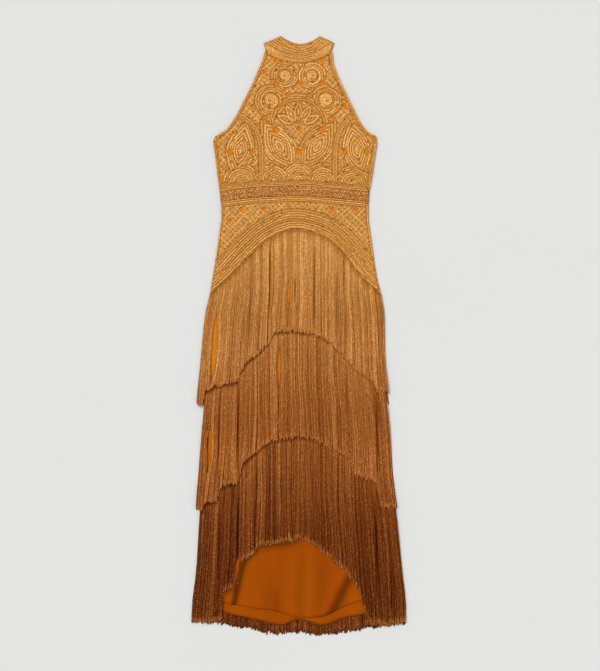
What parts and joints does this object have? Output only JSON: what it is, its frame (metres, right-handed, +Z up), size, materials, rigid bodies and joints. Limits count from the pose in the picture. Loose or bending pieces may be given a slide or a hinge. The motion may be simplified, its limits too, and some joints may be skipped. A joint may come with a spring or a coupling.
{
  "type": "maxi dress",
  "caption": "Sleeveless halter-neck maxi dress laid flat and face up: corded lace bodice and hip yoke, braided waistband, tiers of long fringe with a rising front hem, slip lining.",
  "frame": {"origin": "on the floor, at the middle of the length and width of the laid-out dress", "axes": "+Y runs up the dress to the neck, +X to the right as the front is looked at, +Z up from the floor through the dress"},
  "size_m": [0.522, 1.4652, 0.0112],
  "materials": {
    "lace": "golden corded lace with a soft metallic glint",
    "band": "braided band, darker and glinting",
    "lining": "plain orange satin-like lining",
    "fringe_light": "twisted lustrous yarn, golden",
    "fringe_mid": "twisted lustrous yarn, bronze",
    "fringe_dark": "twisted lustrous yarn, brown"
  },
  "bodies": {
    "root": {"collar_front": "lace", "collar_back": "lace", "bodice_front_centre": "lace", "bodice_front_left": "lace", "bodice_front_right": "lace", "bodice_back_left": "lace", "bodice_back_right": "lace", "waistband_front": "band", "waistband_back": "band", "yoke_front": "lace", "yoke_back": "lace", "lining_bodice_front": "lining", "lining_bodice_back": "lining", "lining_skirt_front": "lining", "lining_skirt_back": "lining", "fringe_front_1": "fringe_light", "fringe_front_2": "fringe_mid", "fringe_front_3": "fringe_dark", "fringe_back_1": "fringe_light", "fringe_back_2": "fringe_mid", "fringe_back_3": "fringe_dark"}
  },
  "joints": []
}
